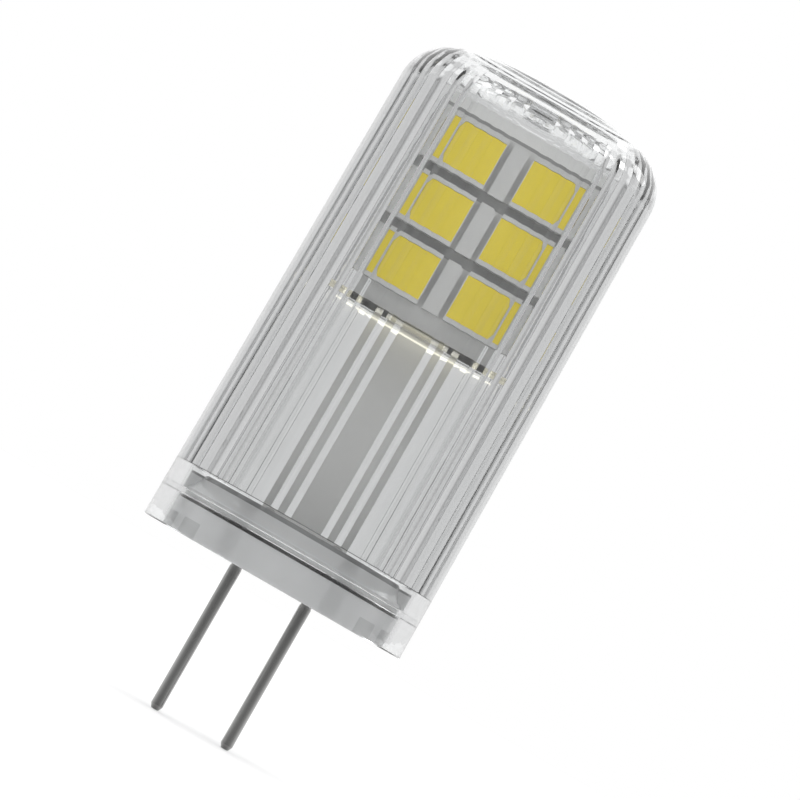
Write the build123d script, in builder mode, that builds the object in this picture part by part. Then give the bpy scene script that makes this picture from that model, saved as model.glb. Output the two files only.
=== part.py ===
import os
from math import cos, radians, sin, sqrt, tan

from build123d import *

# LED capsule bulb with two pins. Millimetres. Z points up through the dome, X runs through both pins,
# and the LED face that is seen first looks along -Y. The origin is on the base face, between the pins.

os.makedirs("parts", exist_ok=True)

# Cover: one clear moulding, smooth outside
cover_height = 28.6
mouth_outer_r = 7.35
shoulder_outer_r = 7.2
shoulder_blend = 2.4
dome_sphere_r = 21.0

# Cavity: upright prism flutes on the cover's inner wall, with draft. They mirror about both centre
# planes, and each one turns the light of the LED faces out towards the sides, where they are shallow.
flute_count = 48
crest_r_low = 5.6
crest_r_top = 5.42
flute_share = 0.5
flute_slope_first = 18.0
flute_slope_step = 2.0
flute_slope_least = 12.0
flute_slope_side = 5.0
front_flutes = 6
cavity_floor_z = 3.28
roof_thickness = 1.5
cavity_roof_blend = 1.5
blend_bands = 4

# Mouth of the cover: bore for the plug, a seat collar and the snap recess above it
bore_r = 6.42
collar_z = 1.78
collar_height = 0.28
collar_r = 6.2
recess_r = 6.46

# Base plug
plug_r = 6.31
seat_gap = 0.06
boss_r = 6.1
boss_shoulder_z = 2.2
boss_top_r = 5.5
boss_top_z = 3.13
snap_lug_width = 1.6
snap_lug_reach = 0.26
snap_lug_height = 0.9
lug_clearance = 0.06
coring_depth = 0.84
coring_length = 2.4
coring_pockets = ((5.37, 5.95), (4.23, 5.03))

# Contact pins
pin_spacing = 4.0
pin_r = 0.325
pin_length = 8.2
pin_tip_length = 0.24
pin_tip_inset = 0.12
pin_neck = 0.1
tail_r = 0.3
pin_hole_clearance = 0.04
tail_z = 2.85
tail_reach = 0.25
tail_channel_width = 1.3

# Driver board: the grey panel at the back of the cavity
driver_width = 5.0
driver_thickness = 0.6
driver_front_y = 3.3
driver_seat_z = 2.25
board_clearance = 0.05
tongue_width = 3.0
tongue_height = 1.01

# Locating plate: D-shaped shelf at half height
plate_z = 14.33
plate_thickness = 0.36
plate_front_y = -1.1
plate_clearance = 0.08

# LED board: its heights are over the locating plate, which carries it
board_thickness = 1.0
board_width = 9.6
board_roof_gap = 1.07
board_step_height = 1.11
foot_width = 8.18
board_corner = 0.5
peg_width = 1.2
peg_x = 3.2

# LED packages: two columns on each face of the board, and as many rows as it has room for
led_width = 3.5
led_height = 2.8
led_thickness = 0.75
led_x = 2.45
led_pitch = 3.3
led_first_height = 2.4
led_top_margin = 0.6
window_width = 3.18
window_height = 2.35
window_corner = 0.35
window_depth = 0.45
fill_drop = 0.04
fill_clearance = 0.015
notch = 0.3

# Raised centre lands, one to a row
land_width = 0.87
land_thickness = 0.4
land_notch = 0.2

# Solder joints and link wires
solder_r = 0.52
solder_height = 0.45
joint_clearance = 0.005
link_r = 0.2
link_x = 1.0
link_height = 0.51
link_foot_r = 0.42
link_foot_height = 0.35

# Driver parts, one above the other on the back of the driver board, low enough to clear the wall
bridge_size = (3.4, 2.0, 0.95)
chip_size = (2.0, 2.0, 0.9)
inductor_size = (2.4, 2.1, 0.95)
capacitor_size = (0.8, 1.0, 0.7)
resistor_size = (0.8, 0.9, 0.45)
lead_width = 0.35
lead_reach = 0.3
lead_thickness = 0.15
body_chamfer = 0.15
inductor_corner = 0.5
coil_window_r = 0.9
coil_core_r = 0.55
coil_window_depth = 0.25
block_x = 0.9


def write(solid, name):
    solid.label = name
    export_step(solid, f"parts/{name}.step")


cavity_roof_z = cover_height - roof_thickness


def crest_r(z):
    share = (z - cavity_floor_z) / (cavity_roof_z - cavity_floor_z)
    return crest_r_low + (crest_r_top - crest_r_low) * share


# Cover
pitch_angle = 360 / flute_count
quarter_flutes = flute_count // 4
cavity_mouth_z = cavity_floor_z - 0.02


def wall_point(radius, angle):
    # Angles start at the front, -Y, and run towards +X
    return (radius * sin(radians(angle)), -radius * cos(radians(angle)))


def flute_depth(number):
    slope = flute_slope_side
    if number <= front_flutes:
        slope = max(flute_slope_least, flute_slope_first - flute_slope_step * (number - 1))
    return crest_r_low * radians(pitch_angle * flute_share) * tan(radians(slope))


def quarter_wall(radius):
    # From the front centre line to the side: a crest arc, a step out, then a sloping flank back in
    places = []
    for number in range(1, quarter_flutes):
        places.append((radius, number * pitch_angle))
        places.append((radius + flute_depth(number), number * pitch_angle))
        places.append((radius, (number + flute_share) * pitch_angle))
    return places


def flute_section(radius, z):
    # The quarter's outline, mirrored to the side and then to the back
    front = quarter_wall(radius)
    back = [(r, 180 - angle) for r, angle in reversed(front)]
    right = front + back
    left = [(r, 360 - angle) for r, angle in reversed(right)]
    with BuildSketch(Plane.XY.offset(z)) as section:
        with BuildLine():
            Polyline(*[wall_point(r, angle) for r, angle in right + left], close=True)
        make_face()
    return section.sketch


# The flutes run up the wall and on over the roof's blend, in a few straight bands
blend_start_z = cavity_roof_z - cavity_roof_blend
with BuildPart() as cavity:
    add(flute_section(crest_r_low, cavity_mouth_z))
    for band in range(blend_bands + 1):
        turn = radians(90 * band / blend_bands)
        radius = crest_r(blend_start_z) - cavity_roof_blend * (1 - cos(turn))
        add(flute_section(radius, blend_start_z + cavity_roof_blend * sin(turn)))
    loft(ruled=True)

dome_drop = dome_sphere_r - sqrt(dome_sphere_r**2 - shoulder_outer_r**2)
dome_mid_r = shoulder_outer_r / 2
dome_mid_drop = dome_sphere_r - sqrt(dome_sphere_r**2 - dome_mid_r**2)
shoulder = (shoulder_outer_r, cover_height - dome_drop)
collar_top_z = collar_z + collar_height
with BuildPart() as cover:
    with BuildSketch(Plane.XZ):
        with BuildLine():
            Polyline((0, cover_height), (0, 0), (mouth_outer_r, 0), shoulder)
            ThreePointArc(shoulder, (dome_mid_r, cover_height - dome_mid_drop), (0, cover_height))
        profile = make_face()
        corner = profile.vertices().sort_by_distance(shoulder)[0]
        fillet(corner, shoulder_blend)
    revolve(axis=Axis.Z)
    with BuildSketch(Plane.XZ):
        with BuildLine():
            Polyline(
                (0, 0),
                (bore_r, 0),
                (bore_r, collar_z),
                (collar_r, collar_z),
                (collar_r, collar_top_z),
                (recess_r, collar_top_z),
                (recess_r, cavity_floor_z),
                (0, cavity_floor_z),
                close=True,
            )
        make_face()
    revolve(axis=Axis.Z, mode=Mode.SUBTRACT)
    add(cavity.part, mode=Mode.SUBTRACT)
write(cover.part, "cover")

# Base plug
seat_z = collar_z - seat_gap
driver_back_y = driver_front_y + driver_thickness
driver_mid_y = (driver_front_y + driver_back_y) / 2
pin_places = [(-pin_spacing / 2, 0), (pin_spacing / 2, 0)]
with BuildPart() as plug:
    with BuildSketch(Plane.XZ):
        with BuildLine():
            Polyline(
                (0, 0),
                (plug_r, 0),
                (plug_r, seat_z),
                (boss_r, seat_z),
                (boss_r, boss_shoulder_z),
                (boss_top_r, boss_top_z),
                (0, boss_top_z),
                close=True,
            )
        make_face()
    revolve(axis=Axis.Z)
    with BuildSketch(Plane.XY.offset(collar_top_z + lug_clearance)):
        Circle(boss_r + snap_lug_reach)
        Circle(boss_top_r - snap_lug_reach, mode=Mode.SUBTRACT)
        Rectangle(2 * recess_r, snap_lug_width, mode=Mode.INTERSECT)
    extrude(amount=snap_lug_height)
    with BuildSketch(Plane.XY):
        for inner_r, outer_r in coring_pockets:
            Circle(outer_r)
            Circle(inner_r, mode=Mode.SUBTRACT)
        Rectangle(2 * bore_r, coring_length, mode=Mode.INTERSECT)
    extrude(amount=coring_depth, mode=Mode.SUBTRACT)
    with BuildSketch(Plane.XY):
        with Locations(*pin_places):
            Circle(tail_r + pin_hole_clearance)
    extrude(amount=boss_top_z, mode=Mode.SUBTRACT)
    with BuildSketch(Plane.XY.offset(boss_top_z)):
        with Locations((0, driver_mid_y)):
            Rectangle(driver_width + 2 * board_clearance, driver_thickness + 2 * board_clearance)
        for x, y in pin_places:
            with Locations((x, driver_mid_y / 2)):
                Rectangle(tail_channel_width, driver_mid_y + tail_channel_width)
    extrude(amount=-(boss_top_z - driver_seat_z), mode=Mode.SUBTRACT)
write(plug.part, "base_plug")

# Contact pins, each with a thinner tail that bends back inside the plug and goes through the driver board
for side, x in (("left", -pin_spacing / 2), ("right", pin_spacing / 2)):
    side_plane = Plane(origin=(x, 0, 0), x_dir=(0, 1, 0), z_dir=(1, 0, 0))
    tail_end_y = driver_back_y + tail_reach
    with BuildPart() as pin:
        with BuildLine(side_plane) as route:
            Polyline((0, -pin_neck), (0, tail_z), (tail_end_y, tail_z))
        with BuildSketch(Plane(origin=(x, 0, -pin_neck))):
            Circle(tail_r)
        sweep(path=route.line, transition=Transition.RIGHT)
        with BuildSketch(Plane(origin=(x, 0, -pin_length))):
            Circle(pin_r)
        extrude(amount=pin_length - pin_neck)
        tip_face = pin.faces().sort_by(Axis.Z)[0]
        chamfer(tip_face.edges(), length=pin_tip_inset, length2=pin_tip_length, reference=tip_face)
    write(pin.part, f"contact_pin_{side}")

    with BuildPart() as joint:
        with BuildSketch(side_plane):
            with BuildLine():
                Polyline(
                    (driver_front_y, tail_z + tail_r + joint_clearance),
                    (driver_front_y, tail_z + solder_r),
                    (driver_front_y - solder_height, tail_z + tail_r + joint_clearance),
                    close=True,
                )
            make_face()
        revolve(axis=Axis((x, 0, tail_z), (0, 1, 0)))
    write(joint.part, f"pin_solder_{side}")

# Driver board: stands in the plug's slot, and its tongue goes up through the locating plate
plate_top_z = plate_z + plate_thickness
tongue_top_z = plate_top_z + tongue_height
with BuildPart() as driver:
    with BuildSketch(Plane.XZ.offset(-driver_back_y)):
        with Locations((0, (driver_seat_z + plate_z) / 2)):
            Rectangle(driver_width, plate_z - driver_seat_z)
        with Locations((0, (plate_z + tongue_top_z) / 2)):
            Rectangle(tongue_width, tongue_top_z - plate_z)
        for x, y in pin_places:
            with Locations((x, tail_z)):
                Circle(tail_r + pin_hole_clearance, mode=Mode.SUBTRACT)
    extrude(amount=driver_thickness)
write(driver.part, "driver_board")

# Locating plate: round at the back, straight at the front, with slots for both boards
plate_r = crest_r(plate_top_z) - plate_clearance
with BuildPart() as plate:
    with BuildSketch(Plane.XY.offset(plate_z)):
        Circle(plate_r)
        with Locations((0, plate_front_y + plate_r)):
            Rectangle(2 * plate_r, 2 * plate_r, mode=Mode.INTERSECT)
        with Locations((0, driver_mid_y)):
            Rectangle(
                tongue_width + 2 * board_clearance,
                driver_thickness + 2 * board_clearance,
                mode=Mode.SUBTRACT,
            )
        with Locations((-peg_x, 0), (peg_x, 0)):
            Rectangle(
                peg_width + 2 * board_clearance,
                board_thickness + 2 * board_clearance,
                mode=Mode.SUBTRACT,
            )
    extrude(amount=plate_thickness)
write(plate.part, "locating_plate")

# LED board: stands on the plate, with two pegs in the plate's slots
board_step_z = plate_top_z + board_step_height
board_top_z = cavity_roof_z - board_roof_gap
with BuildPart() as board:
    with BuildSketch(Plane.XZ.offset(-board_thickness / 2)):
        with Locations((0, (board_step_z + board_top_z) / 2)):
            Rectangle(board_width, board_top_z - board_step_z)
        with Locations((0, (plate_top_z + board_step_z) / 2)):
            Rectangle(foot_width, board_step_z - plate_top_z)
        peg_mid_z = (plate_z + plate_top_z) / 2
        with Locations((-peg_x, peg_mid_z), (peg_x, peg_mid_z)):
            Rectangle(peg_width, plate_thickness)
    extrude(amount=board_thickness)
    top_corners = board.edges().filter_by(Axis.Y).group_by(Axis.Z)[-1]
    chamfer(top_corners, board_corner)
write(board.part, "led_board")


# LED packages and centre lands on both faces of the LED board
def face_plane(x, z, facing):
    return Plane(
        origin=(x, facing * board_thickness / 2, z),
        x_dir=(-facing, 0, 0),
        z_dir=(0, facing, 0),
    )


rows_height = board_top_z - led_top_margin - led_height / 2 - plate_top_z - led_first_height
led_rows = int(rows_height // led_pitch) + 1
for face, facing in (("front", -1), ("back", 1)):
    for row in range(led_rows):
        z = plate_top_z + led_first_height + row * led_pitch
        for column, across in (("left", -led_x), ("right", led_x)):
            base = face_plane(across, z, facing)
            name = f"{face}_{column}_{row + 1}"
            with BuildPart() as housing:
                with BuildSketch(base):
                    Rectangle(led_width, led_height)
                extrude(amount=led_thickness)
                marked = housing.edges().filter_by(Axis.Y).group_by(Axis.Z)[-1].sort_by(Axis.X)[0]
                chamfer(marked, notch)
                with BuildSketch(base.offset(led_thickness)):
                    window = Rectangle(window_width, window_height)
                    chamfer(window.vertices(), window_corner)
                extrude(amount=-window_depth, mode=Mode.SUBTRACT)
            write(housing.part, f"led_{name}")

            with BuildPart() as fill:
                with BuildSketch(base.offset(led_thickness - window_depth + fill_clearance)):
                    fill_face = Rectangle(window_width - 2 * fill_clearance, window_height - 2 * fill_clearance)
                    chamfer(fill_face.vertices(), window_corner - fill_clearance)
                extrude(amount=window_depth - fill_clearance - fill_drop)
            write(fill.part, f"phosphor_{name}")

        with BuildPart() as land:
            with BuildSketch(face_plane(0, z, facing)):
                Rectangle(land_width, led_height)
            extrude(amount=land_thickness)
            marked = land.edges().filter_by(Axis.Y).group_by(Axis.Z)[-1].sort_by(Axis.X)[-1]
            chamfer(marked, land_notch)
        write(land.part, f"land_{face}_{row + 1}")

# Link wires from the driver board's tongue to the back of the LED board, with a solder foot at each end
board_back_y = board_thickness / 2
link_z = plate_top_z + link_height
for side, x in (("left", -link_x), ("right", link_x)):
    with BuildPart() as link:
        with BuildSketch(Plane(origin=(x, 0, link_z), x_dir=(0, 1, 0), z_dir=(1, 0, 0))):
            with BuildLine():
                Polyline(
                    (board_back_y, 0),
                    (board_back_y, link_foot_r),
                    (board_back_y + link_foot_height, link_r),
                    (driver_front_y - link_foot_height, link_r),
                    (driver_front_y, link_foot_r),
                    (driver_front_y, 0),
                    close=True,
                )
            make_face()
        revolve(axis=Axis((x, 0, link_z), (0, 1, 0)))
    write(link.part, f"link_wire_{side}")


# Driver parts on the back of the driver board
def back_plane(x, z):
    return Plane(origin=(x, driver_back_y, z), x_dir=(-1, 0, 0), z_dir=(0, 1, 0))


def moulded_part(name, size, z, lead_xs):
    width, height, thickness = size
    with BuildPart() as body:
        with BuildSketch(back_plane(0, z)):
            Rectangle(width, height)
        extrude(amount=thickness)
        chamfer(body.faces().sort_by(Axis.Y)[-1].edges(), body_chamfer)
        with BuildSketch(back_plane(0, z)):
            for x in lead_xs:
                with Locations((x, -height / 2), (x, height / 2)):
                    Rectangle(lead_width, 2 * lead_reach)
        extrude(amount=lead_thickness)
    write(body.part, name)


def block_pair(name, size, z):
    for number, x in ((1, -block_x), (2, block_x)):
        with BuildPart() as block:
            with BuildSketch(back_plane(x, z)):
                Rectangle(size[0], size[1])
            extrude(amount=size[2])
        write(block.part, f"{name}_{number}")


# Bottom to top, with equal gaps from the plug to the locating plate
sizes = (resistor_size, bridge_size, chip_size, inductor_size, capacitor_size)
free_height = plate_z - boss_top_z - sum(size[1] for size in sizes) - 4 * lead_reach
stack_gap = free_height / (len(sizes) + 1)
resistor_z = boss_top_z + stack_gap + resistor_size[1] / 2
bridge_z = resistor_z + resistor_size[1] / 2 + stack_gap + lead_reach + bridge_size[1] / 2
chip_z = bridge_z + bridge_size[1] / 2 + stack_gap + 2 * lead_reach + chip_size[1] / 2
inductor_z = chip_z + chip_size[1] / 2 + lead_reach + stack_gap + inductor_size[1] / 2
capacitor_z = inductor_z + inductor_size[1] / 2 + stack_gap + capacitor_size[1] / 2

block_pair("resistor", resistor_size, resistor_z)
moulded_part("bridge_rectifier", bridge_size, bridge_z, (-1.1, 1.1))
moulded_part("driver_chip", chip_size, chip_z, (-0.65, 0, 0.65))
block_pair("capacitor", capacitor_size, capacitor_z)

with BuildPart() as inductor:
    with BuildSketch(back_plane(0, inductor_z)):
        RectangleRounded(inductor_size[0], inductor_size[1], inductor_corner)
    extrude(amount=inductor_size[2])
    with BuildSketch(back_plane(0, inductor_z).offset(inductor_size[2])):
        Circle(coil_window_r)
        Circle(coil_core_r, mode=Mode.SUBTRACT)
    extrude(amount=-coil_window_depth, mode=Mode.SUBTRACT)
write(inductor.part, "inductor")
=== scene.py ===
import math

import bmesh
import bpy
from mathutils import Matrix, Vector


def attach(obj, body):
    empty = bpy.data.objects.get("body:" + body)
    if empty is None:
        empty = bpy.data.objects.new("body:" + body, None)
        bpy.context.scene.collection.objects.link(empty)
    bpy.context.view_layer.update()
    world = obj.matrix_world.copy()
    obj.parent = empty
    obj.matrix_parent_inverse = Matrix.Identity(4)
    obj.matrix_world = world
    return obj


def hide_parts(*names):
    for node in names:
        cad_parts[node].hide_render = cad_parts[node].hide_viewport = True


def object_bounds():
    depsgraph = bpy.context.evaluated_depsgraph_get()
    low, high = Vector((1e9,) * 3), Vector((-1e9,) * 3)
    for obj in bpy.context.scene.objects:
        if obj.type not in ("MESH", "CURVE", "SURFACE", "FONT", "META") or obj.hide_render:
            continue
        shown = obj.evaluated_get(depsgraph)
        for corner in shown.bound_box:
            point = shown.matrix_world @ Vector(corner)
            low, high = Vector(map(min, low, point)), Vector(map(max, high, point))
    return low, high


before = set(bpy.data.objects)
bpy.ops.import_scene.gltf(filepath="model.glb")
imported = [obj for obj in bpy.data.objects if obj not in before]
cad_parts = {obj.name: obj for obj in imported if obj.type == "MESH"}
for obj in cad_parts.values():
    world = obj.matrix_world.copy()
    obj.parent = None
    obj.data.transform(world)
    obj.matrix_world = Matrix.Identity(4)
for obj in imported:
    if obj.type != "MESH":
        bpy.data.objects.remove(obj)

cad_low, cad_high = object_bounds()

# Camera: level with the base rim, in front of the lamp, and rolled so that the lamp leans to the right.
# It stands about five lamp lengths away, so the base and the dome are both seen almost straight on.
MM = 0.001
camera_distance = 180 * MM
aim = Vector((0.93, 0, 11.25)) * MM
view_width = 40 * MM
roll = math.radians(29.9)

camera_data = bpy.data.cameras.new("camera")
camera_data.sensor_width = 36
camera_data.lens = camera_data.sensor_width * camera_distance / view_width
camera_data.clip_start = 0.005
camera_data.clip_end = 10
camera = bpy.data.objects.new("camera", camera_data)
camera.location = (0, -camera_distance, 0)
towards = (aim - camera.location).to_track_quat("-Z", "Y").to_matrix()
camera.rotation_euler = (towards @ Matrix.Rotation(roll, 3, "Z")).to_euler()
bpy.context.scene.collection.objects.link(camera)
bpy.context.scene.camera = camera
bpy.context.scene.view_settings.view_transform = "Standard"

# Studio: white walls behind, beside and in front of the lamp, with darker gaps between them that draw the
# edges of the clear plastic, and a white ceiling. Matt surfaces get one plain level instead.
# The walls are (place, level) pairs, from the camera's side at 0 to the far side at 1.
studio_walls = (
    (0.02, 0.6), (0.06, 0.35), (0.38, 0.42), (0.42, 0.85),
    (0.58, 0.85), (0.62, 0.42), (0.745, 0.42), (0.79, 1.0),
)
ceiling_starts, ceiling_full, ceiling_level = 0.14, 0.27, 1.4
plain_level_left, plain_level_right = 1.5, 1.35
backdrop_level = 1.0


def node(tree, kind, place, **settings):
    made = tree.nodes.new(kind)
    made.location = place
    for key, value in settings.items():
        setattr(made, key, value)
    return made


world = bpy.data.worlds.new("studio")
bpy.context.scene.world = world
world.use_nodes = True
tree = world.node_tree
tree.nodes.clear()
direction = node(tree, "ShaderNodeTexCoord", (-1100, 0))
split = node(tree, "ShaderNodeSeparateXYZ", (-900, 0))
depth_share = node(tree, "ShaderNodeMapRange", (-700, 0))
depth_share.inputs["From Min"].default_value = -1
walls = node(tree, "ShaderNodeValToRGB", (-500, 0))
while len(walls.color_ramp.elements) < len(studio_walls):
    walls.color_ramp.elements.new(0.5)
for stop, (place, level) in zip(walls.color_ramp.elements, studio_walls):
    stop.position = place
    stop.color = (level, level, level, 1)
ceiling = node(tree, "ShaderNodeMapRange", (-500, 250), interpolation_type="SMOOTHSTEP")
ceiling.inputs["From Min"].default_value = ceiling_starts
ceiling.inputs["From Max"].default_value = ceiling_full
ceiling.inputs["To Max"].default_value = ceiling_level
studio = node(tree, "ShaderNodeMath", (-200, 100), operation="MAXIMUM")
plain = node(tree, "ShaderNodeMapRange", (-500, -250))
plain.inputs["From Min"].default_value = -1
plain.inputs["To Min"].default_value = plain_level_left
plain.inputs["To Max"].default_value = plain_level_right
seen = node(tree, "ShaderNodeLightPath", (-500, 550))
matt = node(tree, "ShaderNodeMath", (-300, 400), operation="GREATER_THAN")
matt.inputs[1].default_value = 0.5
lit = node(tree, "ShaderNodeMix", (0, 100), data_type="FLOAT")
strength = node(tree, "ShaderNodeMix", (200, 100), data_type="FLOAT")
strength.inputs["B"].default_value = backdrop_level
background = node(tree, "ShaderNodeBackground", (400, 0))
background.inputs["Color"].default_value = (1, 1, 1, 1)
output = node(tree, "ShaderNodeOutputWorld", (600, 0))
tree.links.new(direction.outputs["Generated"], split.inputs[0])
tree.links.new(split.outputs["X"], plain.inputs["Value"])
tree.links.new(split.outputs["Y"], depth_share.inputs["Value"])
tree.links.new(split.outputs["Z"], ceiling.inputs["Value"])
tree.links.new(depth_share.outputs["Result"], walls.inputs["Fac"])
tree.links.new(walls.outputs["Color"], studio.inputs[0])
tree.links.new(ceiling.outputs["Result"], studio.inputs[1])
tree.links.new(seen.outputs["Diffuse Depth"], matt.inputs[0])
tree.links.new(matt.outputs[0], lit.inputs["Factor"])
tree.links.new(studio.outputs[0], lit.inputs["A"])
tree.links.new(plain.outputs["Result"], lit.inputs["B"])
tree.links.new(seen.outputs["Is Camera Ray"], strength.inputs["Factor"])
tree.links.new(lit.outputs["Result"], strength.inputs["A"])
tree.links.new(strength.outputs["Result"], background.inputs["Strength"])
tree.links.new(background.outputs[0], output.inputs["Surface"])

# Studio lights: two weak round area lights, one high at the front left and one behind on the right.
# Each is (name, place in metres, diameter in metres, power in watts), and aims at the foot of the cover.
studio_lights = (
    ("key_light", (-0.22, -0.16, 0.2), 0.12, 0.12),
    ("rim_light", (0.2, 0.12, 0.16), 0.08, 0.05),
)
for name, place, diameter, power in studio_lights:
    light = bpy.data.lights.new(name, "AREA")
    light.shape = "DISK"
    light.size = diameter
    light.energy = power
    stand = bpy.data.objects.new(name, light)
    stand.location = place
    stand.rotation_euler = (-Vector(place)).to_track_quat("-Z", "Y").to_euler()
    bpy.context.scene.collection.objects.link(stand)

# Floor: a plain pale matt sheet, three metres across, just under the tips of the pins.
# It is no part of the lamp.
floor_radius = 1.5
floor_gap = 0.02 * MM
floor_mesh = bpy.data.meshes.new("floor")
form = bmesh.new()
bmesh.ops.create_circle(form, cap_ends=True, segments=96, radius=floor_radius)
form.to_mesh(floor_mesh)
form.free()
floor = bpy.data.objects.new("floor", floor_mesh)
floor.location.z = cad_low.z - floor_gap
bpy.context.scene.collection.objects.link(floor)
floor_paint = bpy.data.materials.new("floor_paint")
floor_paint.use_nodes = True
principled = floor_paint.node_tree.nodes["Principled BSDF"]
principled.inputs["Base Color"].default_value = (0.86, 0.86, 0.86, 1)
principled.inputs["Roughness"].default_value = 0.9
principled.inputs["Specular IOR Level"].default_value = 0.1
floor_mesh.materials.append(floor_paint)

# Base plug: a clear plastic moulding with a satin skin, whose boss snaps up into the cover's mouth. Painted
# shade darkens the gap at its seat and its top edge, and painted shade over the coring pockets in its foot
# shows them as darker patches.
painted_seat_shade_z = (1.6, 1.8)
painted_boss_edge_shade_z = (2.9, 3.2)
painted_pocket_shade_z = (-0.1, 0.84)
outer_pocket_shade_x, inner_pocket_shade_x = (5.37, 6.4), (4.23, 5.03)


def finish(name, colour, roughness, grain, bump_depth, variation, squeeze=(1, 1, 1), **values):
    # A noise with grains of the given size clouds the colour and drives a fine bump; both sizes are in mm
    material = bpy.data.materials.new(name)
    material.use_nodes = True
    tree = material.node_tree
    shader = tree.nodes["Principled BSDF"]
    shader.inputs["Roughness"].default_value = roughness
    for key, value in values.items():
        shader.inputs[key.replace("_", " ")].default_value = value
    place = node(tree, "ShaderNodeTexCoord", (-1000, 0))
    stretch = node(tree, "ShaderNodeMapping", (-820, 0))
    stretch.inputs["Scale"].default_value = squeeze
    noise = node(tree, "ShaderNodeTexNoise", (-640, 0))
    noise.inputs["Scale"].default_value = 1 / (grain * MM)
    noise.inputs["Detail"].default_value = 4
    tint = node(tree, "ShaderNodeMix", (-300, 160), data_type="RGBA")
    tint.inputs["A"].default_value = tuple(c * (1 - variation) for c in colour) + (1,)
    tint.inputs["B"].default_value = tuple(min(1, c * (1 + variation)) for c in colour) + (1,)
    bump = node(tree, "ShaderNodeBump", (-300, -160))
    bump.inputs["Strength"].default_value = 1
    bump.inputs["Distance"].default_value = bump_depth * MM
    tree.links.new(place.outputs["Object"], stretch.inputs["Vector"])
    tree.links.new(stretch.outputs["Vector"], noise.inputs["Vector"])
    tree.links.new(noise.outputs["Fac"], tint.inputs["Factor"])
    tree.links.new(noise.outputs["Fac"], bump.inputs["Height"])
    tree.links.new(tint.outputs["Result"], shader.inputs["Base Color"])
    tree.links.new(bump.outputs["Normal"], shader.inputs["Normal"])
    return material


def paint_shade_and_light(material, level, **spans):
    # Paints shade into the colour, and light where level is above 1: the colour is multiplied by level
    # inside a box, given as (low, high) in mm along one axis or more
    tree = material.node_tree
    colour = tree.nodes["Principled BSDF"].inputs["Base Color"]
    before = colour.links[0].from_socket
    place = node(tree, "ShaderNodeTexCoord", (-1000, 400))
    split = node(tree, "ShaderNodeSeparateXYZ", (-820, 400))
    mixed = node(tree, "ShaderNodeMix", (-120, 300), data_type="RGBA", blend_type="MULTIPLY")
    mixed.inputs["B"].default_value = (level, level, level, 1)
    share = mixed.inputs["Factor"]
    for axis, (low, high) in spans.items():
        inside = node(tree, "ShaderNodeMath", (-640, 400), operation="COMPARE")
        inside.inputs[1].default_value = (low + high) / 2 * MM
        inside.inputs[2].default_value = (high - low) / 2 * MM
        both = node(tree, "ShaderNodeMath", (-460, 400), operation="MULTIPLY")
        both.inputs[1].default_value = 1
        tree.links.new(split.outputs[axis], inside.inputs[0])
        tree.links.new(inside.outputs[0], both.inputs[0])
        tree.links.new(both.outputs[0], share)
        share = both.inputs[1]
    tree.links.new(place.outputs["Object"], split.inputs[0])
    tree.links.new(before, mixed.inputs["A"])
    tree.links.new(mixed.outputs["Result"], colour)


def dress(names, material, edge=0.0):
    # Gives solids their material, and breaks their edges by the given width in mm
    for name in names:
        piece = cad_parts[name]
        for slot in piece.material_slots:
            slot.material = material
        if edge:
            bevel = piece.modifiers.new("edge", "BEVEL")
            bevel.width = edge * MM
            bevel.segments = 2
            bevel.limit_method = "ANGLE"
            bevel.angle_limit = math.radians(40)


satin = finish(
    "satin_plastic", (0.93, 0.935, 0.94), roughness=0.08, grain=1.2, bump_depth=0.004, variation=0.02,
    Transmission_Weight=0.35, IOR=1.5,
)
# Painted shade: a dark band at the seat gap and a darker band at the boss's top edge
paint_shade_and_light(satin, level=0.05, Z=painted_seat_shade_z)
paint_shade_and_light(satin, level=0.35, Z=painted_boss_edge_shade_z)
# Painted shade: darker patches on the foot over the outer and inner coring pockets
for side in (-1, 1):
    paint_shade_and_light(satin, level=0.7, Z=painted_pocket_shade_z, X=sorted(side * x for x in outer_pocket_shade_x))
    paint_shade_and_light(satin, level=0.75, Z=painted_pocket_shade_z, X=sorted(side * x for x in inner_pocket_shade_x))
dress(["base_plug"], satin, edge=0.05)

# Contact pins: drawn and tinned wire with fine lines along its length, passed up through the plug.
# Along its middle the round wire mirrors the darker room in front of it; this is a painted reflection, the
# colour darkened by facing.
painted_reflection_level, painted_reflection_until = 0.32, 0.45
drawn_lines = (1, 1, 0.06)


def nodes_named(start):
    return [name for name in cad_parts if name.startswith(start)]


tinned = finish(
    "tinned_wire", (0.34, 0.34, 0.335), roughness=0.13, grain=0.12, bump_depth=0.004, variation=0.12,
    squeeze=drawn_lines, Metallic=1.0,
)
tree = tinned.node_tree
# Painted reflection: the colour is darker where the wire faces the camera
facing = node(tree, "ShaderNodeLayerWeight", (-820, 300))
middle = node(tree, "ShaderNodeMapRange", (-640, 300))
middle.inputs["From Max"].default_value = painted_reflection_until
middle.inputs["To Min"].default_value = painted_reflection_level
wire = node(tree, "ShaderNodeMix", (-120, 300), data_type="RGBA", blend_type="MULTIPLY")
wire.inputs["Factor"].default_value = 1
colour = tree.nodes["Principled BSDF"].inputs["Base Color"]
tree.links.new(facing.outputs["Facing"], middle.inputs["Value"])
tree.links.new(colour.links[0].from_socket, wire.inputs["A"])
tree.links.new(middle.outputs["Result"], wire.inputs["B"])
tree.links.new(wire.outputs["Result"], colour)
dress(nodes_named("contact_pin"), tinned)

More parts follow.
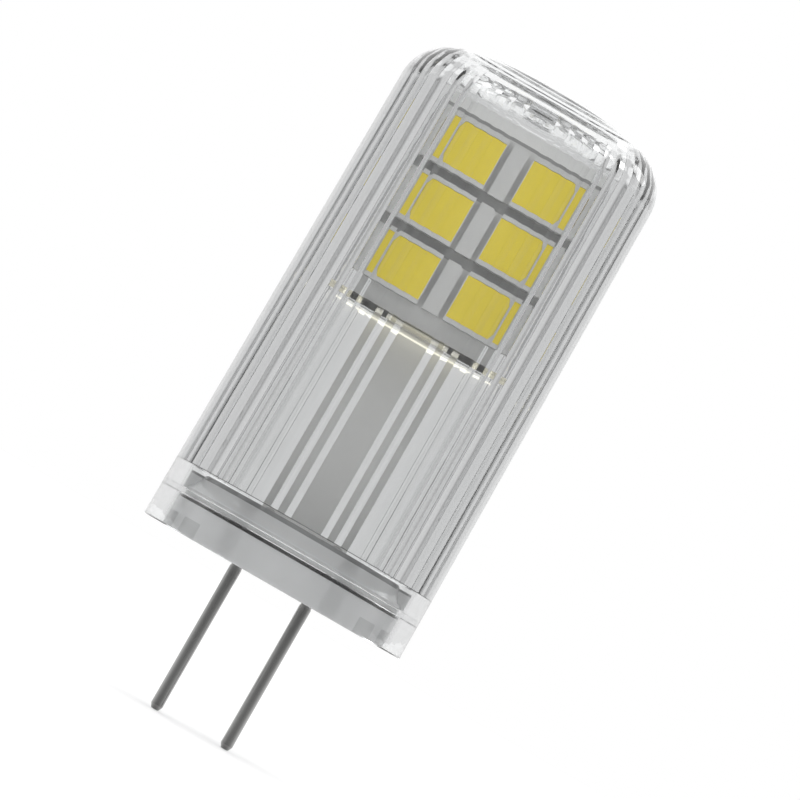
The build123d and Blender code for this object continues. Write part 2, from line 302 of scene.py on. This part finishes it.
# Boards: pale grey solder mask over glass cloth, whose weave shows as a faint bump. The driver board stands
# in the plug, and the LED board on the locating plate. On the LED board the mask is painted darker between
# the rows of packages and in a line over the top row, as painted shade, and paler in the strip above that
# line, as painted light.
painted_row_shade_z = ((18.45, 19.05), (21.75, 22.35))
painted_top_row_shade_z, painted_top_strip_light_z = (25.25, 25.42), (25.42, 26.2)
mask = finish(
    "solder_mask", (0.77, 0.77, 0.76), roughness=0.42, grain=0.35, bump_depth=0.006, variation=0.03,
)
# Painted shade between the rows of packages and in a line over the top row
for row_shade_z in painted_row_shade_z:
    paint_shade_and_light(mask, level=0.5, Z=row_shade_z)
paint_shade_and_light(mask, level=0.5, Z=painted_top_row_shade_z)
# Painted light: the strip along the board's top edge is made paler
paint_shade_and_light(mask, level=1.25, Z=painted_top_strip_light_z)
dress(["led_board", "driver_board"], mask, edge=0.04)

# Solder joints and link wires: bright solder, a little uneven. The joints hold the tails of the pins to the
# driver board, and the link wires run from that board's tongue to the back of the LED board.
solder = finish(
    "solder", (0.66, 0.66, 0.65), roughness=0.25, grain=0.5, bump_depth=0.02, variation=0.06, Metallic=1.0,
)
dress(nodes_named("pin_solder") + nodes_named("link_wire"), solder)

# Driver parts: black moulded bodies, a ferrite inductor, tan ceramic capacitors and black film resistors.
# They lie flat on the back of the driver board.
black = finish(
    "black_moulding", (0.03, 0.03, 0.032), roughness=0.5, grain=0.1, bump_depth=0.01, variation=0.2,
)
dress(["bridge_rectifier", "driver_chip"], black, edge=0.03)
ferrite = finish(
    "ferrite", (0.09, 0.09, 0.095), roughness=0.6, grain=0.15, bump_depth=0.012, variation=0.15,
)
dress(["inductor"], ferrite, edge=0.03)
tan = finish(
    "tan_ceramic", (0.45, 0.33, 0.2), roughness=0.4, grain=0.1, bump_depth=0.006, variation=0.08,
)
dress(nodes_named("capacitor"), tan)
film = finish(
    "black_film", (0.06, 0.06, 0.065), roughness=0.35, grain=0.12, bump_depth=0.005, variation=0.15,
)
dress(nodes_named("resistor"), film)

# Locating plate: a thin clear moulding, straight at the front and round at the back, on which the LED board
# stands. Its front edge is painted dark, as painted shade. A painted warm glow on its back part stands in
# for light from the packages that runs in the plate and leaves at its back rim.
painted_front_edge_shade_y = (-1.3, -1.0)
painted_glow_from_y = 2.2
painted_glow_colour, painted_glow_strength = (1, 0.96, 0.78, 1), 0.4
pale = finish(
    "pale_plastic", (0.9, 0.9, 0.88), roughness=0.03, grain=2.0, bump_depth=0.004, variation=0.02,
    Transmission_Weight=1.0, IOR=1.5,
)
# Painted shade darkens the front edge of the plate
paint_shade_and_light(pale, level=0.2, Y=painted_front_edge_shade_y)
tree = pale.node_tree
shader = tree.nodes["Principled BSDF"]
# Painted glow: the back of the plate, behind the given Y, gives off warm light though it is no lamp
place = node(tree, "ShaderNodeTexCoord", (-1000, -400))
split = node(tree, "ShaderNodeSeparateXYZ", (-820, -400))
behind = node(tree, "ShaderNodeMath", (-640, -400), operation="GREATER_THAN")
behind.inputs[1].default_value = painted_glow_from_y * MM
painted_glow = node(tree, "ShaderNodeMix", (-460, -400), data_type="RGBA")
painted_glow.inputs["A"].default_value = (0, 0, 0, 1)
painted_glow.inputs["B"].default_value = painted_glow_colour
tree.links.new(place.outputs["Object"], split.inputs[0])
tree.links.new(split.outputs["Y"], behind.inputs[0])
tree.links.new(behind.outputs[0], painted_glow.inputs["Factor"])
tree.links.new(painted_glow.outputs["Result"], shader.inputs["Emission Color"])
shader.inputs["Emission Strength"].default_value = painted_glow_strength
dress(["locating_plate"], pale, edge=0.03)

# LED housings and centre lands: white moulded resin with a fine satin grain. They lie flat on both faces of
# the LED board, the housings in two columns and the lands between them.
resin = finish(
    "white_resin", (0.8, 0.8, 0.79), roughness=0.45, grain=0.08, bump_depth=0.004, variation=0.03,
)
dress(nodes_named("led_front") + nodes_named("led_back"), resin, edge=0.04)
dress(nodes_named("land"), resin, edge=0.03)

# Phosphor fills: yellow silicone in the housings' windows, smooth on top. Its grains cloud the colour a
# little, and a weak painted yellow glow stands in for the light it gives back as its own yellow.
yellow = finish(
    "phosphor", (0.97, 0.77, 0.06), roughness=0.3, grain=0.6, bump_depth=0.004, variation=0.05,
    Emission_Color=(1, 0.8, 0.08, 1), Emission_Strength=0.1,
)
dress(nodes_named("phosphor"), yellow)

# Cover: one clear injection moulding, polished outside, that goes over everything else and onto the plug.
# Upright prism flutes on its inner wall run out on the blend to the roof. It is rebuilt smooth here, from
# the same sizes as the solid, in mm and degrees, and with faint turning ripples on the blend and the roof.
cover_height, mouth_r, shoulder_r, shoulder_blend, sphere_r = 28.6, 7.35, 7.2, 2.4, 21.0
wall_rows, shoulder_rows, dome_rows = 10, 24, 40
flute_count, crest_low, crest_top = 48, 5.6, 5.42
front_flutes, first_slope, slope_fall, least_slope, side_slope = 6, 18, 2, 12, 5
step_width, step_lean = 0.03, 0.67
flank_points = (0.25, 0.5, 0.75, 1.0)
floor_z, roof_z, roof_blend = 3.28, 27.1, 1.5
inner_rows_up, blend_row_turn, roof_rings = 8, 2.0, 56
ripple_from, blend_waves, blend_ripple, ripple_rise = 15, 4.5, 0.014, 6
roof_ripple, rings_per_ripple = 0.024, 7
# A flute is whole up to the first turn of the blend and gone at the second
run_out_front, run_out_side = (20, 34), (32, 64)
# From the cavity's floor out and down over the snap recess, the seat collar and the plug's bore to the foot
floor_r, recess_r, collar_r, bore_r = 5.66, 6.46, 6.2, 6.42
collar_high, collar_low, lip, foot_edge = 2.06, 1.78, 0.03, 0.05
mouth_steps = (
    (floor_r, floor_z), (recess_r - lip, floor_z), (recess_r, floor_z - lip),
    (recess_r, collar_high), (collar_r + lip, collar_high), (collar_r, collar_high - lip),
    (collar_r, collar_low + lip), (collar_r + lip, collar_low),
    (bore_r - lip, collar_low), (bore_r, collar_low - lip),
    (bore_r, foot_edge), (bore_r + foot_edge, 0), (mouth_r - foot_edge, 0),
)
# Edges of the mesh that turn more than this show as sharp
sharp_turn = 9


def outer_profile():
    # From the foot up the wall, round the shoulder and over the domed top, as (radius, height)
    drop = sphere_r - math.sqrt(sphere_r**2 - shoulder_r**2)
    corner = Vector((shoulder_r, cover_height - drop))
    wall = (corner - Vector((mouth_r, 0))).normalized()
    inward = Vector((-wall.y, wall.x))
    centre = Vector((0, cover_height - sphere_r))
    # Halving finds how far below the corner the blend starts, so that it touches the wall and the sphere
    low, high = 0.0, 6.0
    for _ in range(60):
        back = (low + high) / 2
        middle = corner - wall * back + inward * shoulder_blend
        if (middle - centre).length > sphere_r - shoulder_blend:
            low = back
        else:
            high = back
    start = corner - wall * back
    first = math.atan2(-inward.y, -inward.x)
    last = math.atan2((middle - centre).y, (middle - centre).x)
    points = [Vector((mouth_r, foot_edge)).lerp(start, k / wall_rows) for k in range(wall_rows)]
    for k in range(shoulder_rows + 1):
        angle = first + (last - first) * k / shoulder_rows
        points.append(middle + shoulder_blend * Vector((math.cos(angle), math.sin(angle))))
    dome_end = math.atan2(points[-1].x, points[-1].y - centre.y)
    for k in range(1, dome_rows):
        angle = dome_end * (1 - k / dome_rows)
        points.append(centre + sphere_r * Vector((math.sin(angle), math.cos(angle))))
    return points


def flute_samples():
    # (angle from the front, flute depth there, lean of its step), mirrored to all four quarters
    pitch = 360 / flute_count
    quarter = [(0.0, 0.0, 0.0), (pitch / 2, 0.0, 0.0)]
    for number in range(1, flute_count // 4):
        start = number * pitch
        slope, lean_rate = side_slope, 0.0
        if number <= front_flutes:
            slope = max(least_slope, first_slope - slope_fall * (number - 1))
            lean_rate = math.tan(math.radians(step_lean * start))
        depth = crest_low * math.radians(pitch / 2) * math.tan(math.radians(slope))
        lean = math.degrees(depth / crest_low * lean_rate)
        quarter += [(start - step_width, 0.0, 0.0), (start, depth, lean)]
        for share in flank_points:
            quarter.append((start + share * pitch / 2, depth * (1 - share), 0.0))
        quarter.append((start + 0.75 * pitch, 0.0, 0.0))
    right = quarter + [(90.0, 0.0, 0.0)] + [(180 - a, d, -lean) for a, d, lean in reversed(quarter)]
    return right + [(360 - a, d, -lean) for a, d, lean in reversed(right[1:-1])]


def inner_rows():
    # (radius of the crests, height, turn round the roof's blend), from the floor up to the roof
    rows = []
    blend_z = roof_z - roof_blend
    for k in range(inner_rows_up + 1):
        z = floor_z + (blend_z - floor_z) * k / inner_rows_up
        rows.append((crest_low + (crest_top - crest_low) * (z - floor_z) / (roof_z - floor_z), z, 0.0))
    edge_r = rows[-1][0] - roof_blend
    for k in range(1, round(90 / blend_row_turn) + 1):
        turn = blend_row_turn * k
        turned = max(0, turn - ripple_from) / (90 - ripple_from)
        ripple = blend_ripple * min(1, ripple_rise * turned) * math.sin(2 * math.pi * blend_waves * turned)
        reach = roof_blend + ripple
        across, up = math.cos(math.radians(turn)), math.sin(math.radians(turn))
        rows.append((edge_r + reach * across, blend_z + reach * up, turn))
    return rows


def flute_left(turn, angle):
    # The share of a flute's depth that is left at a turn of the blend: it runs out later at the sides
    sideways = math.sin(math.radians(angle)) ** 2
    start, end = [front + (side - front) * sideways for front, side in zip(run_out_front, run_out_side)]
    return min(1, max(0, (end - turn) / (end - start)))


samples = flute_samples()


def ring(radius, z, turn=90):
    # One turn of points, with the flutes in it as far as they reach at this turn of the blend
    points = []
    for angle, depth, lean in samples:
        left = flute_left(turn, angle)
        place = math.radians(angle - lean * left)
        reach = radius + depth * left
        points.append(Vector((reach * math.sin(place), -reach * math.cos(place), z)))
    return points


rings = [ring(r, z) for r, z in outer_profile()]
outer_count = len(rings)
inner_wall = inner_rows()
flat_r = inner_wall[-1][0]
for k in range(1, roof_rings):
    ripple = roof_ripple * math.sin(2 * math.pi * k / rings_per_ripple)
    rings.append(ring(flat_r * k / roof_rings, roof_z + ripple))
rings += [ring(r, z, turn) for r, z, turn in reversed(inner_wall)]
rings += [ring(r, z) for r, z in mouth_steps]

cover_mesh = bpy.data.meshes.new("cover_shell")
form = bmesh.new()
verts = [[form.verts.new(p * MM) for p in points] for points in rings]
count = len(samples)


def band(lower, upper):
    for k in range(count):
        n = (k + 1) % count
        form.faces.new((lower[k], lower[n], upper[n], upper[k]))


for k in range(outer_count - 1):
    band(verts[k], verts[k + 1])
dome_middle = form.verts.new(Vector((0, 0, cover_height)) * MM)
roof_middle = form.verts.new(Vector((0, 0, roof_z)) * MM)
for k in range(count):
    n = (k + 1) % count
    form.faces.new((verts[outer_count - 1][k], verts[outer_count - 1][n], dome_middle))
    form.faces.new((verts[outer_count][n], verts[outer_count][k], roof_middle))
for k in range(outer_count, len(rings) - 1):
    band(verts[k], verts[k + 1])
band(verts[-1], verts[0])
bmesh.ops.recalc_face_normals(form, faces=form.faces)
form.to_mesh(cover_mesh)
form.free()
for face in cover_mesh.polygons:
    face.use_smooth = True
cover_mesh.set_sharp_from_angle(angle=math.radians(sharp_turn))
cover = bpy.data.objects.new("cover_shell", cover_mesh)
bpy.context.scene.collection.objects.link(cover)
clear = finish(
    "clear_plastic", (0.93, 0.935, 0.935), roughness=0.0, grain=6.0, bump_depth=0.004, variation=0.01,
    Transmission_Weight=1.0, IOR=1.5,
)
tree = clear.node_tree
absorption = node(tree, "ShaderNodeVolumeAbsorption", (0, -300))
absorption.inputs["Color"].default_value = (0.5, 0.505, 0.51, 1)
absorption.inputs["Density"].default_value = 190
tree.links.new(absorption.outputs[0], tree.nodes["Material Output"].inputs["Volume"])
cover_mesh.materials.append(clear)
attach(cover, "root")
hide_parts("cover")
